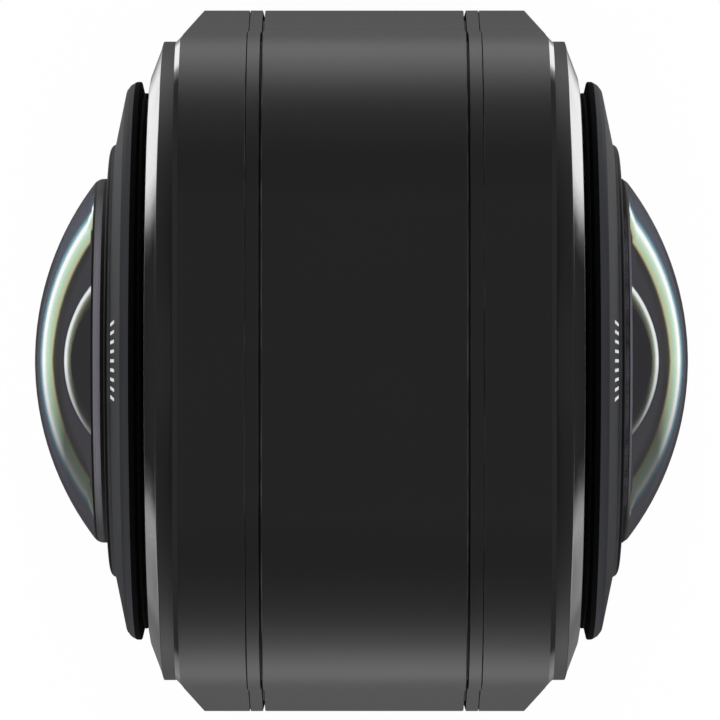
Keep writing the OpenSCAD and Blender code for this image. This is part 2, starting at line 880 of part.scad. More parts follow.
// Port socket: a thin metal shell with a contact tongue, on the main board
module port_socket() color(steel) {
    inner_w = socket_w - 2 * socket_wall;
    inner_h = socket_h - 2 * socket_wall;
    depth = socket_d - socket_back;
    mouth_x = -side + door_t + plug_t + moving;
    mid = [mouth_x, socket_h / 2 - board_back, hinge_z + plug_rise + plug_h / 2];
    translate(mid) rotate([0, 90, 0]) {
        difference() {
            slab(0, socket_d) round_rect(socket_w, socket_h, socket_h / 2 - eps);
            slab(-over, depth) round_rect(inner_w, inner_h, inner_h / 2 - eps);
        }
        bar([tongue_w, tongue_t], tongue_set, depth + eps);
    }
}

module battery_case() color(black) {
    cavity_x = body_w - 2 * wall;
    cavity_y = body_t - 2 * wall - edge_drop;
    difference() {
        union() {
            difference() {
                base_block();
                translate([-cavity_x / 2, -cavity_y / 2, floor_t]) cube([cavity_x, cavity_y, long]);
            }
            tube(boss_r, 0, boss_top);
        }
        tube(insert_r + slip / 2, -over, thread_l);
        latch_recess_cut();
    }
}

// Outside of the battery base, with slanted lower edges
module base_block() {
    intersection() {
        linear_extrude(base_top) plan();
        facing("front") slab(-long, long) foot_outline(side);
        rotate([0, 0, 90]) facing("front") slab(-long, long) foot_outline(face);
    }
}

module foot_outline(half) {
    polygon([
        [half, foot_edge], [half, base_top + over], [-half, base_top + over],
        [-half, foot_edge], [foot_edge - half, 0], [half - foot_edge, 0]
    ]);
}

// Recess and slot for the latch in the side of the battery base
module latch_recess_cut() {
    half = (latch_w + latch_travel) / 2 + moving;
    slot = (blade_neck + latch_travel) / 2 + moving;
    translate([side - latch_recess, -half, latch_z - latch_h / 2 - moving])
        cube([latch_recess + over, 2 * half, latch_h + 2 * moving]);
    translate([inner_side - over, -slot, latch_z - blade_neck / 2 - moving])
        cube([wall + 2 * over, 2 * slot, blade_neck + 2 * moving]);
}

// Sliding latch: a ribbed pad outside, a neck through the wall, and a blade with a nose that holds the core
module battery_latch() color(grey) translate([0, -latch_travel / 2, 0]) {
    pad_x = side - latch_recess + slip;
    pad_t = latch_recess - 2 * slip - rib;
    nose = base_h + wall + moving;
    translate([pad_x, -latch_w / 2, latch_z - latch_h / 2]) cube([pad_t, latch_w, latch_h]);
    rib_step = latch_w / (rib_n + 1);
    for (i = [1:rib_n])
        translate([pad_x + pad_t - eps, i * rib_step - latch_w / 2 - rib / 2, latch_z - rib_l / 2])
            cube([rib + eps, rib, rib_l]);
    translate([blade_x + eps, -blade_neck / 2, latch_z - blade_neck / 2])
        cube([pad_x - blade_x, blade_neck, blade_neck]);
    translate([blade_x, -blade_w / 2, latch_z - latch_h / 2]) cube([blade_t, blade_w, latch_h]);
    translate([blade_x, -blade_neck / 2, latch_z]) cube([blade_t, blade_neck, nose + nose_t - latch_z]);
    translate([blade_x - nose_in, -blade_neck / 2, nose]) cube([nose_in + blade_t, blade_neck, nose_t]);
}

// Keyhole in the core's floor: narrow where the nose holds, wide where it lifts out
module latch_keyway() {
    narrow = [blade_x - moving, inner_side];
    wide = [blade_x - nose_in - moving, inner_side];
    locked = -latch_travel / 2 - blade_neck / 2 - moving;
    freed = latch_travel / 2 - blade_neck / 2 - moving;
    end = latch_travel / 2 + blade_neck / 2 + moving;
    translate([narrow[0], locked, base_h - over])
        cube([narrow[1] - narrow[0], end - locked, wall + 2 * over]);
    translate([wide[0], freed, base_h - over])
        cube([wide[1] - wide[0], end - freed, wall + 2 * over]);
}

// Lid of the battery base, with a land under the core that leaves a groove around it
module battery_lid() color(black) {
    fit_x = body_w - 2 * wall - 2 * slip;
    fit_y = body_t - 2 * wall - edge_drop - 2 * slip;
    half = (blade_w + latch_travel) / 2 + moving;
    notch_x = blade_x - moving;
    difference() {
        translate([-fit_x / 2, -fit_y / 2, base_h - lid_t]) cube([fit_x, fit_y, lid_t]);
        translate([notch_x, -half, base_h - lid_t - over]) cube([wall, 2 * half, lid_t + 2 * over]);
        link_hole(base_link_w, base_link_t, base_h - lid_t, base_h);
    }
}

module battery_cell() color(grey) {
    room_x = blade_x - moving - slip;
    back_x = inner_side - slip;
    half_y = face - wall - edge_drop / 2 - slip;
    low = boss_top + slip;
    high = base_h - lid_t - link_seat - slip;
    translate([-back_x, -half_y, low]) cube([back_x + room_x, 2 * half_y, high - low]);
}

module battery_connector() color(gloss)
    link(base_link_w, base_link_t, base_h - lid_t - link_seat, core_mid - board_h / 2);

module tripod_insert() color(brass) {
    difference() {
        tube(insert_r, 0, thread_l);
        tube(thread_r, -over, thread_l + over);
    }
}

head_frame();
head_shell("front");  // front_head_shell
head_shell("rear");  // rear_head_shell
seal_band("front");  // front_seal_band
seal_band("rear");  // rear_seal_band
face_plate("front");  // front_face_plate
face_plate("rear");  // rear_face_plate
bevel_ring("front");  // front_bevel_ring
bevel_ring("rear");  // rear_bevel_ring
neck_seal("front");  // front_neck_seal
neck_seal("rear");  // rear_neck_seal
lens_bezel("front");  // front_lens_bezel
lens_bezel("rear");  // rear_lens_bezel
retaining_ring("front");  // front_retaining_ring
retaining_ring("rear");  // rear_retaining_ring
dome_lens("front");  // front_dome_lens
dome_lens("rear");  // rear_dome_lens
second_element("front");  // front_second_element
second_element("rear");  // rear_second_element
lens_barrel("front");  // front_lens_barrel
lens_barrel("rear");  // rear_lens_barrel
image_sensor("front");  // front_image_sensor
image_sensor("rear");  // rear_image_sensor
sensor_circuit("front");  // front_sensor_board
sensor_circuit("rear");  // rear_sensor_board
heat_spreader();
head_screws();
head_connector();
core_frame();
core_front_cover();
core_rear_cover();
display_window();
display_panel();
main_board();
core_screws();
microphones();
speaker();
shutter_button();
power_button();
button_switches();
port_door();
port_door_plug();
port_door_pin();
port_socket();
battery_case();
battery_lid();
battery_cell();
battery_connector();
battery_latch();
tripod_insert();
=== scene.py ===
"""Looks for the two-lens 360 degree camera, seen from straight above.

+Z is up, the front lens looks along -Y, the buttons are on +X and the port door is on -X.
Lengths are written in millimetres and turned into metres by MM.
"""
import json
import math

import bmesh
import bpy
from mathutils import Matrix, Vector

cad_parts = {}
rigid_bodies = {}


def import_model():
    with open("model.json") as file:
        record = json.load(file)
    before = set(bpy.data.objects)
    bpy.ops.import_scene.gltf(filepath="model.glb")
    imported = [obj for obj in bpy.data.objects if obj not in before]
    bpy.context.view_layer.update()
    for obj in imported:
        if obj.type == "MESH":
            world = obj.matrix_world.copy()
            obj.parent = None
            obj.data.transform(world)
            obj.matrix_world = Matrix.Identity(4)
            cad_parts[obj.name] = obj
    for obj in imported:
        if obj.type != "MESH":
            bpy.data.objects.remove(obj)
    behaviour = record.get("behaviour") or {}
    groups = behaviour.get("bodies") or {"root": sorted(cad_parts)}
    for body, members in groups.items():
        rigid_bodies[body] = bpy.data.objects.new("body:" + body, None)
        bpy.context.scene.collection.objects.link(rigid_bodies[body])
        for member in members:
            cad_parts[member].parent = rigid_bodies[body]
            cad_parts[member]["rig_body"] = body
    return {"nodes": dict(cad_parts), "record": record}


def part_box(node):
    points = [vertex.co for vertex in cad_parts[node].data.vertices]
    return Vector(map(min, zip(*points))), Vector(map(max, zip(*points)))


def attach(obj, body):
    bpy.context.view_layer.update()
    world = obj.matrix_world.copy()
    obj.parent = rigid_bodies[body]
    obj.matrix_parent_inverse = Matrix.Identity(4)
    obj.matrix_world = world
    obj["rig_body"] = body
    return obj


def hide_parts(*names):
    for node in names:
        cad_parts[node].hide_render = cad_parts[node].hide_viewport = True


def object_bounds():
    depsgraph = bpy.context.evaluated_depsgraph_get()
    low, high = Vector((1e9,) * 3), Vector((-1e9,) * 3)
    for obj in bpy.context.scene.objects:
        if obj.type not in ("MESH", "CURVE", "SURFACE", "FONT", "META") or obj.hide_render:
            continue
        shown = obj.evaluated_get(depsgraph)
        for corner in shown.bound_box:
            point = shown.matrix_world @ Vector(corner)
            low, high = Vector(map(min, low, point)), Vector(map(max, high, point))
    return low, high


MM = 0.001

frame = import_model()
cad_low, cad_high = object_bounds()
nodes = frame["nodes"]
slots = {row["node"]: row["material_slot"] for row in frame["record"]["subparts"]}
bodies = {name: node["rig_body"] for name, node in nodes.items()}


def middle(node):
    """The middle of a CAD node's box, in metres."""
    low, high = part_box(node)
    return (low + high) / 2


LENS_Z = middle("front_face_plate").z
TOP_Z = cad_high.z


# Node trees

def add(tree, kind, inputs=None, **settings):
    """Adds a node; an input is given as a value or as the socket that feeds it."""
    made = tree.nodes.new(kind)
    for name, value in settings.items():
        setattr(made, name, value)
    for name, value in (inputs or {}).items():
        if isinstance(value, bpy.types.NodeSocket):
            tree.links.new(value, made.inputs[name])
        else:
            made.inputs[name].default_value = value
    return made


def calc(tree, operation, first, second=0.0):
    """The result of one sum on two numbers."""
    return add(tree, "ShaderNodeMath", {0: first, 1: second}, operation=operation).outputs[0]


def times(tree, first, second):
    """One number times another."""
    return calc(tree, "MULTIPLY", first, second)


def split(tree, value):
    """The X, Y and Z of a vector."""
    return add(tree, "ShaderNodeSeparateXYZ", {0: value}).outputs


def on_object(tree):
    """The place of a point on its piece, which is also its place in the frame."""
    return add(tree, "ShaderNodeTexCoord").outputs["Object"]


def noise(tree, scale, detail):
    """Cloudy noise that is fixed to the piece."""
    inputs = {"Vector": on_object(tree), "Scale": scale, "Detail": detail}
    return add(tree, "ShaderNodeTexNoise", inputs).outputs["Fac"]


def stretch(tree, value, low, high, to_low=0.0, to_high=1.0):
    """Maps a value from one range to another and keeps it there."""
    inputs = {"Value": value, "From Min": low, "From Max": high, "To Min": to_low, "To Max": to_high}
    return add(tree, "ShaderNodeMapRange", inputs).outputs["Result"]


def inside(tree, value, low, high, soft):
    """One between two limits and nothing beyond them, with soft ends."""
    return times(tree, stretch(tree, value, low, low + soft), stretch(tree, value, high, high - soft))


def blend(tree, share, first, second):
    """Mixes two colours."""
    made = add(tree, "ShaderNodeMix", {0: share, 6: first, 7: second}, data_type="RGBA")
    return made.outputs[2]


def ramp(tree, value, stops):
    """A colour ramp from (place, colour) stops."""
    made = add(tree, "ShaderNodeValToRGB", {"Fac": value})
    points = made.color_ramp.elements
    points.remove(points[1])
    points[0].position, points[0].color = stops[0]
    for place, colour in stops[1:]:
        points.new(place).color = colour
    return made.outputs["Color"]


def grey(value):
    """A neutral colour."""
    return (value, value, value, 1.0)


def group(name, inputs, outputs):
    """An empty shader group; inputs and outputs are (name, socket type, default) rows."""
    tree = bpy.data.node_groups.new(name, "ShaderNodeTree")
    for label, kind, default in inputs:
        socket = tree.interface.new_socket(label, in_out="INPUT", socket_type=kind)
        if default is not None:
            socket.default_value = default
    for label, kind in outputs:
        tree.interface.new_socket(label, in_out="OUTPUT", socket_type=kind)
    source = tree.nodes.new("NodeGroupInput").outputs
    result = tree.nodes.new("NodeGroupOutput").inputs
    return tree, source, result


FLOAT, VECTOR = "NodeSocketFloat", "NodeSocketVector"


def make_moulded_grain():
    """Fine spark-eroded grain of moulded plastic, with a slow change of tone."""
    outputs = [("Height", FLOAT), ("Tone", FLOAT)]
    tree, source, result = group("moulded_grain", [("Scale", FLOAT, 4000.0)], outputs)
    tree.links.new(noise(tree, source["Scale"], 2.0), result["Height"])
    tree.links.new(noise(tree, times(tree, source["Scale"], 0.02), 3.0), result["Tone"])
    return tree


def make_worn_edge():
    """Share of wear on a piece's rounded edges, which carry the attribute "edge", broken up by noise."""
    tree, source, result = group("worn_edge", [("Amount", FLOAT, 0.3)], [("Mask", FLOAT)])
    edge = add(tree, "ShaderNodeAttribute", attribute_name="edge").outputs["Fac"]
    broken = stretch(tree, noise(tree, 500.0, 4.0), 0.4, 0.7)
    worn = times(tree, edge, broken)
    tree.links.new(times(tree, worn, source["Amount"]), result["Mask"])
    return tree


def make_turned_marks():
    """Fine concentric tool marks about the Z axis of the vector it is given."""
    inputs = [("Vector", VECTOR, None), ("Pitch", FLOAT, 0.00012)]
    tree, source, result = group("turned_marks", inputs, [("Height", FLOAT)])
    parts = split(tree, source["Vector"])
    squares = calc(tree, "ADD", times(tree, parts[0], parts[0]), times(tree, parts[1], parts[1]))
    turns = calc(tree, "DIVIDE", calc(tree, "SQRT", squares), source["Pitch"])
    wave = calc(tree, "SINE", times(tree, turns, 2 * math.pi))
    along = {"W": turns, "Scale": 0.37, "Detail": 2.0}
    uneven = add(tree, "ShaderNodeTexNoise", along, noise_dimensions="1D").outputs["Fac"]
    height = times(tree, calc(tree, "ADD", wave, 1.0), uneven)
    tree.links.new(times(tree, height, 0.5), result["Height"])
    return tree


def make_settled_dust():
    """Share of fine dust on faces that look up."""
    tree, source, result = group("settled_dust", [("Amount", FLOAT, 0.1)], [("Mask", FLOAT)])
    up = split(tree, add(tree, "ShaderNodeNewGeometry").outputs["Normal"])[2]
    sparse = stretch(tree, noise(tree, 2600.0, 2.0), 0.66, 0.78)
    mask = times(tree, stretch(tree, up, 0.3, 0.9), sparse)
    tree.links.new(times(tree, mask, source["Amount"]), result["Mask"])
    return tree


MOULDED_GRAIN = make_moulded_grain()
WORN_EDGE = make_worn_edge()
TURNED_MARKS = make_turned_marks()
SETTLED_DUST = make_settled_dust()


def place_group(tree, shared, **inputs):
    """Places a shared effect in a material; the inputs are named after its sockets."""
    return add(tree, "ShaderNodeGroup", inputs, node_tree=shared).outputs


# Materials

def new_material(name):
    """An empty material with a Principled shader: its tree, shader and output."""
    made = bpy.data.materials.new(name)
    made.use_nodes = True
    tree = made.node_tree
    tree.nodes.clear()
    shader = tree.nodes.new("ShaderNodeBsdfPrincipled")
    output = tree.nodes.new("ShaderNodeOutputMaterial")
    tree.links.new(shader.outputs[0], output.inputs["Surface"])
    return made, tree, shader, output


def roughen(tree, shader, height, depth):
    """Gives a surface a fine relief, its depth in millimetres."""
    bump = add(tree, "ShaderNodeBump", {"Height": height, "Distance": depth * MM, "Strength": 0.5})
    tree.links.new(bump.outputs["Normal"], shader.inputs["Normal"])


WORN_PLASTIC = grey(0.06)
WORN_METAL = grey(0.25)
DUST = grey(0.3)
POLISH = grey(0.74)
GLASS_GLOSS = 0.02


def moulded(name, colour, roughness, specular=0.5, grain=4000.0, depth=0.004, wear=0.3, dust=0.02):
    """Moulded plastic: fine grain, slow change of tone, pale worn edges and a trace of dust."""
    made, tree, shader, _ = new_material(name)
    surface = place_group(tree, MOULDED_GRAIN, Scale=grain)
    worn = place_group(tree, WORN_EDGE, Amount=wear)["Mask"]
    dusty = place_group(tree, SETTLED_DUST, Amount=dust)["Mask"]
    pale = tuple(min(1.0, 1.04 * part) for part in colour) + (1.0,)
    deep = tuple(0.96 * part for part in colour) + (1.0,)
    toned = blend(tree, surface["Tone"], deep, pale)
    rubbed = blend(tree, worn, toned, WORN_PLASTIC)
    tree.links.new(blend(tree, dusty, rubbed, DUST), shader.inputs["Base Color"])
    uneven = stretch(tree, surface["Tone"], 0.3, 0.7, roughness - 0.01, roughness + 0.01)
    tree.links.new(uneven, shader.inputs["Roughness"])
    shader.inputs["Specular IOR Level"].default_value = specular
    roughen(tree, shader, surface["Height"], depth)
    return made


def centred(tree, place, turn):
    """Object coordinates moved to a turning axis and turned so that the axis is Z."""
    moved = add(tree, "ShaderNodeVectorMath", {0: on_object(tree), 1: place}, operation="SUBTRACT").outputs[0]
    turned = {"Vector": moved, "Rotation": turn}
    return add(tree, "ShaderNodeVectorRotate", turned, rotation_type="EULER_XYZ").outputs[0]


LENS_AXIS = (Vector((0, 0, LENS_Z)), (math.radians(90), 0, 0))


def turned_metal(name, colour, roughness, axis, pitch=0.12, depth=0.003):
    """Turned and anodised metal: concentric tool marks, uneven sheen and rubbed edges."""
    made, tree, shader, _ = new_material(name)
    place, turn = axis
    marks = place_group(tree, TURNED_MARKS, Vector=centred(tree, place, turn), Pitch=pitch * MM)["Height"]
    surface = place_group(tree, MOULDED_GRAIN, Scale=2500.0)
    worn = place_group(tree, WORN_EDGE, Amount=0.25)["Mask"]
    deep = tuple(0.92 * part for part in colour) + (1.0,)
    base = blend(tree, surface["Tone"], deep, tuple(colour) + (1.0,))
    tree.links.new(blend(tree, worn, base, WORN_METAL), shader.inputs["Base Color"])
    uneven = stretch(tree, marks, 0.0, 1.0, roughness - 0.02, roughness + 0.03)
    tree.links.new(uneven, shader.inputs["Roughness"])
    shader.inputs["Metallic"].default_value = 1.0
    roughen(tree, shader, marks, depth)
    return made


def lacquered(name, colour, sheen, axis, pitch, depth):
    """Black lacquer on a turned ring: dark from in front, and a mirror at the grazing angles of sheen."""
    made, tree, shader, _ = new_material(name)
    place, turn = axis
    marks = place_group(tree, TURNED_MARKS, Vector=centred(tree, place, turn), Pitch=pitch * MM)["Height"]
    facing = add(tree, "ShaderNodeLayerWeight", {"Blend": 0.5}).outputs["Facing"]
    share = ramp(tree, facing, sheen)
    tree.links.new(blend(tree, share, colour, POLISH), shader.inputs["Base Color"])
    tree.links.new(share, shader.inputs["Metallic"])
    tree.links.new(stretch(tree, marks, 0.0, 1.0, 0.09, 0.13), shader.inputs["Roughness"])
    shader.inputs["Specular IOR Level"].default_value = 0.0
    roughen(tree, shader, marks, depth)
    return made


def glass(name, front_tint, back_tint, strength, tints, on_back=False, thinning=0.0):
    """Coated lens glass: dark to look through, with a coloured sheen that depends on the angle.

    thinning shifts the sheen's angles with the square of the distance from the lens axis in millimetres, as
    a coat does that is thinner towards the rim.
    """
    made, tree, shader, output = new_material(name)
    tree.nodes.remove(shader)
    facing = add(tree, "ShaderNodeLayerWeight", {"Blend": 0.5}).outputs["Facing"]
    if thinning:
        parts = split(tree, on_object(tree))
        height = calc(tree, "SUBTRACT", parts[2], LENS_Z)
        squares = calc(tree, "ADD", times(tree, parts[0], parts[0]), times(tree, height, height))
        facing = calc(tree, "ADD", facing, times(tree, squares, thinning / MM ** 2))
    behind = add(tree, "ShaderNodeNewGeometry").outputs["Backfacing"]
    mirrored = add(tree, "ShaderNodeLightPath").outputs["Is Glossy Ray"]
    far_side = blend(tree, mirrored, back_tint, grey(0.9))
    through = blend(tree, behind, front_tint, far_side)
    clear = add(tree, "ShaderNodeBsdfTransparent", {"Color": through}).outputs[0]
    sheen = ramp(tree, facing, tints)
    gloss = add(tree, "ShaderNodeBsdfGlossy", {"Color": sheen, "Roughness": GLASS_GLOSS}).outputs[0]
    side = behind if on_back else calc(tree, "SUBTRACT", 1.0, behind)
    share = times(tree, ramp(tree, facing, strength), side)
    mixed = add(tree, "ShaderNodeMixShader", {0: share, 1: clear, 2: gloss}).outputs[0]
    tree.links.new(mixed, output.inputs["Surface"])
    return made


BODY_BLACK = (0.0108, 0.0108, 0.0113)
RING_LACQUER = (0.021, 0.021, 0.022, 1.0)
RING_SHEEN = [
    (0.0, grey(0.0)), (0.695, grey(0.0)), (0.705, grey(0.04)), (0.712, grey(0.15)), (0.727, grey(0.55)),
    (0.745, grey(0.92)), (0.77, grey(1.0)), (1.0, grey(1.0)),
]
LIP_SHIFT = 0.038

FINISHES = {
    "satin_black": moulded("satin_black", BODY_BLACK, 0.32, specular=0.95, wear=0.9),
    "frame_black": moulded("frame_black", BODY_BLACK, 0.32, specular=0.95, wear=0.9),
    "gloss_black": lacquered("polished_ring", RING_LACQUER, RING_SHEEN, LENS_AXIS, pitch=0.2, depth=0.0004),
    "bezel_black": moulded("bezel_anodised", (0.028, 0.029, 0.033), 0.55, specular=0.15, depth=0.002),
    "barrel_black": moulded("barrel_black", (0.006, 0.006, 0.006), 0.7, wear=0.0, dust=0.0),
    "rubber_black": moulded("rubber_black", (0.005, 0.005, 0.005), 0.75, grain=6000.0, depth=0.01, wear=0.0),
    "screen_panel": moulded("screen_panel", (0.008, 0.009, 0.012), 0.2, wear=0.0, dust=0.0),
    "sensor_black": moulded("sensor_black", (0.010, 0.012, 0.016), 0.15, wear=0.0, dust=0.0),
    "circuit_green": moulded("circuit_mask", (0.004, 0.010, 0.008), 0.4, wear=0.0, dust=0.0),
    "bright_steel": turned_metal("bright_steel", (0.55, 0.55, 0.54), 0.3, LENS_AXIS, depth=0.0),
    "spreader_metal": turned_metal("spreader_metal", (0.72, 0.72, 0.72), 0.35, LENS_AXIS, depth=0.0),
    "cell_wrap": moulded("cell_wrap", (0.012, 0.014, 0.020), 0.35, wear=0.0, dust=0.0),
    "insert_brass": turned_metal("insert_brass", (0.60, 0.46, 0.22), 0.3, (Vector(), (0, 0, 0))),
}

COAT_STRENGTH = [
    (0.0, grey(0.02)), (0.655, grey(0.02)), (0.677, grey(0.32)), (0.70, grey(0.45)), (0.731, grey(0.58)),
    (0.759, grey(0.75)), (0.773, grey(0.97)), (0.793, grey(0.97)), (0.805, grey(0.55)), (0.823, grey(0.25)),
    (0.84, grey(0.08)), (1.0, grey(0.05)),
]
COAT_TINTS = [
    (0.0, (0.55, 0.45, 0.80, 1.0)), (0.677, (0.90, 0.80, 0.45, 1.0)), (0.715, (0.92, 0.95, 0.55, 1.0)),
    (0.735, (0.72, 1.0, 0.74, 1.0)), (0.759, (0.76, 1.0, 0.80, 1.0)), (0.773, grey(1.0)), (0.793, grey(1.0)),
    (0.814, (0.40, 0.86, 1.0, 1.0)), (0.867, (0.60, 0.70, 0.95, 1.0)), (1.0, (0.70, 0.75, 0.90, 1.0)),
]
HOLLOW_STRENGTH = [
    (0.0, grey(0.02)), (0.60, grey(0.03)), (0.646, grey(0.12)), (0.696, grey(0.30)), (0.757, grey(0.95)),
    (0.80, grey(0.95)), (0.84, grey(0.92)), (0.90, grey(0.15)), (1.0, grey(0.08)),
]
HOLLOW_TINTS = [
    (0.0, (0.50, 0.60, 0.80, 1.0)), (0.64, (0.85, 0.80, 0.45, 1.0)), (0.70, (0.80, 1.0, 0.80, 1.0)),
    (0.757, grey(1.0)), (0.82, grey(1.0)), (0.87, (0.50, 0.68, 0.75, 1.0)), (1.0, (0.60, 0.70, 0.90, 1.0)),
]
SMOKED = (0.058, 0.056, 0.063, 1.0)
DOME_COAT = glass("dome_coat", grey(0.95), SMOKED, COAT_STRENGTH, COAT_TINTS, thinning=0.0007)
DOME_HOLLOW = glass("dome_hollow", grey(0.75), grey(0.75), HOLLOW_STRENGTH, HOLLOW_TINTS, on_back=True)
PLATE_BLACK = moulded("plate_black", (0.0128, 0.0128, 0.0134), 0.36, specular=0.5, wear=0.0)
LIP_SHEEN = [(min(stop + LIP_SHIFT, 1.0), tone) for stop, tone in RING_SHEEN]
LIP_BLACK = lacquered("polished_lip", RING_LACQUER, LIP_SHEEN, LENS_AXIS, pitch=0.2, depth=0.0004)
RING_BLACK = moulded("ring_black", (0.003, 0.003, 0.003), 0.5, specular=0.06, wear=0.0)
NECK_BLACK = moulded("neck_black", (0.0015, 0.0015, 0.0016), 0.8, specular=0.05, wear=0.0, dust=0.0)
POLISHED_EDGE = turned_metal("polished_edge", (0.86, 0.87, 0.88), 0.10, LENS_AXIS, pitch=0.2, depth=0.0004)
LENS_INK = moulded("lens_ink", (0.004, 0.004, 0.004), 0.6, wear=0.0, dust=0.0)
FINISHES["lens_glass"] = glass("second_glass", grey(0.7), grey(0.7), COAT_STRENGTH, COAT_TINTS)


def make_ground_edge():
    """The matt rim of the domed glass, with a painted highlight: pale where it faces up, dark where it faces
    sideways.
    """
    made, tree, shader, _ = new_material("ground_edge_painted_light")
    up = split(tree, add(tree, "ShaderNodeNewGeometry").outputs["Normal"])[2]
    # painted highlight: the rim's colour is paler the more it faces up, as if lit from overhead
    painted_top_light = stretch(tree, up, 0.4, 0.9)
    tree.links.new(blend(tree, painted_top_light, grey(0.03), (0.130, 0.122, 0.146, 1.0)), shader.inputs["Base Color"])
    shader.inputs["Roughness"].default_value = 0.6
    return made


GROUND_EDGE_PAINTED_LIGHT = make_ground_edge()


def make_screen_glass():
    """Cover glass of the display: black border, and a slightly paler area over the panel."""
    made, tree, shader, _ = new_material("screen_glass")
    low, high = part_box("display_panel")
    parts = split(tree, on_object(tree))
    soft = 0.15 * MM
    across = inside(tree, parts[0], low.x, high.x, soft)
    upright = inside(tree, parts[2], low.z, high.z, soft)
    active = times(tree, across, upright)
    tree.links.new(blend(tree, active, grey(0.004), (0.012, 0.013, 0.016, 1.0)), shader.inputs["Base Color"])
    smears = place_group(tree, MOULDED_GRAIN, Scale=5000.0)["Tone"]
    tree.links.new(stretch(tree, smears, 0.3, 0.8, 0.03, 0.09), shader.inputs["Roughness"])
    return made


FINISHES["screen_glass"] = make_screen_glass()


def button_finish(node):
    """Turned and anodised metal, with its marks about a button's own middle."""
    axis = (middle(node), (0, math.radians(-90), 0))
    return turned_metal(node + "_anodised", (0.05, 0.051, 0.054), 0.35, axis, pitch=0.16, depth=0.006)


for name, node in nodes.items():
    node.data.materials.clear()
    node.data.materials.append(FINISHES[slots[name]])


# Pieces with rounded edges

def show(piece, node, *finishes):
    """A finished piece that stands for a CAD node and rides on its body."""
    for finish in finishes:
        piece.data.materials.append(finish)
    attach(piece, bodies[node])
    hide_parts(node)


def welded(node):
    """A CAD node's mesh with its triangles joined and its flat faces made whole."""
    grid = bmesh.new()
    grid.from_mesh(nodes[node].data)
    bmesh.ops.remove_doubles(grid, verts=grid.verts, dist=1e-7)
    bmesh.ops.dissolve_limit(grid, angle_limit=math.radians(0.05), verts=grid.verts, edges=grid.edges)
    return grid


def settle(name, grid):
    """A new object from a mesh in the making."""
    mesh = bpy.data.meshes.new(name)
    grid.to_mesh(mesh)
    grid.free()
    made = bpy.data.objects.new(name, mesh)
    bpy.context.scene.collection.objects.link(made)
    return made


def bake(made):
    """Turns a piece with modifiers into a plain mesh."""
    bpy.context.view_layer.update()
    shaped = made.evaluated_get(bpy.context.evaluated_depsgraph_get())
    mesh = bpy.data.meshes.new_from_object(shaped)
    mesh.name = made.data.name
    made.modifiers.clear()
    made.data = mesh
    return made


def mark_edges(mesh):
    """Marks the points inside rounded edges, whose faces have material 1."""
    flat = {corner for face in mesh.polygons if face.material_index == 0 for corner in face.vertices}
    mark = mesh.attributes.new("edge", "FLOAT", "POINT")
    for point, value in enumerate(mark.data):
        value.value = 0.0 if point in flat else 1.0


SHARP = math.radians(9)


def soften(node, width, rule=None, segments=3, finish=None, trim=None, trimmed=None, grid=None):
    """Rounds a node's edges by width, with a second finish where wanted.

    rule gives an edge's share of the width from the edge's middle in millimetres; trimmed tells whether a
    face has the finish trim; grid is the node's welded mesh, where it has been changed first.
    """
    changed = grid is not None
    grid = grid or welded(node)
    weight = grid.edges.layers.float.new("bevel_weight_edge")
    for edge in grid.edges:
        if len(edge.link_faces) == 2 and edge.calc_face_angle() > SHARP:
            edge[weight] = rule(edge_middle(edge)) if rule else 1.0
    made = settle(node + "_piece", grid)
    for face in made.data.polygons:
        face.use_smooth = True
    rounded = made.modifiers.new("rounded", "BEVEL")
    rounded.limit_method = "WEIGHT"
    rounded.width = width * MM
    rounded.segments = segments
    rounded.miter_outer = "MITER_ARC"
    rounded.material = 1
    even = made.modifiers.new("even", "WEIGHTED_NORMAL")
    even.keep_sharp = changed
    made.data.materials.append(None)
    made.data.materials.append(None)
    bake(made)
    mark_edges(made.data)
    sides = [int(bool(trim) and trimmed(face)) for face in made.data.polygons]
    made.data.materials.clear()
    show(made, node, finish or FINISHES[slots[node]], *([trim] if trim else []))
    for face, side in zip(made.data.polygons, sides):
        face.material_index = side
    return made


FACE_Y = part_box("front_head_shell")[0].y / -MM
SHELL_BORE = 24.25
SHELL_SLANT = 0.36
SLANT_FOOT = 112.0
SLANT_TAPER = 4.0
BEZEL_SIDE = 17.28
LIP_BORE = 23.9
INSERT_ROUND = 0.1


def edge_middle(edge):
    """The middle of an edge, in millimetres."""
    return (edge.verts[0].co + edge.verts[1].co) / (2 * MM)


def slanted_shell(end):
    """A head shell's welded mesh with a slanted edge around the upper part of its outer face."""
    facing = -1 if end == "front" else 1
    grid = welded(end + "_head_shell")
    everything = grid.verts[:] + grid.edges[:] + grid.faces[:]
    bmesh.ops.bisect_plane(grid, geom=everything, plane_co=(0, 0, SLANT_FOOT * MM), plane_no=(0, 0, 1))
    outer = [
        face for face in grid.faces
        if face.normal.y * facing > 0.999 and abs(face.calc_center_median().y) > (FACE_Y - 0.01) * MM
    ]
    strip = bmesh.ops.inset_region(grid, faces=outer, thickness=SHELL_SLANT * MM, use_even_offset=True)
    kept = {corner for face in outer for corner in face.verts}
    moved = {corner for face in strip["faces"] for corner in face.verts} - kept
    for face in grid.faces:
        if abs(face.normal.z) < 0.01 and 0.1 < abs(face.normal.y) < 0.99:
            moved.update(face.verts)
    for corner in moved:
        share = min(max((corner.co.z / MM - SLANT_FOOT) / SLANT_TAPER, 0.0), 1.0)
        if math.hypot(corner.co.x, corner.co.z - LENS_Z) > SHELL_BORE * MM:
            corner.co.y -= facing * share * SHELL_SLANT * MM
    grid.normal_update()
    slanted = {edge for face in strip["faces"] for edge in face.edges}
    for edge in grid.edges:
        edge.smooth = edge not in slanted or edge.calc_face_angle(0.0) < SHARP
    return grid


def shell_edge(centre):
    """Rounds all of a head shell's edges except the two that border its slanted edge."""
    return 0.0 if abs(centre.y) > FACE_Y - SHELL_SLANT - 0.02 else 1.0


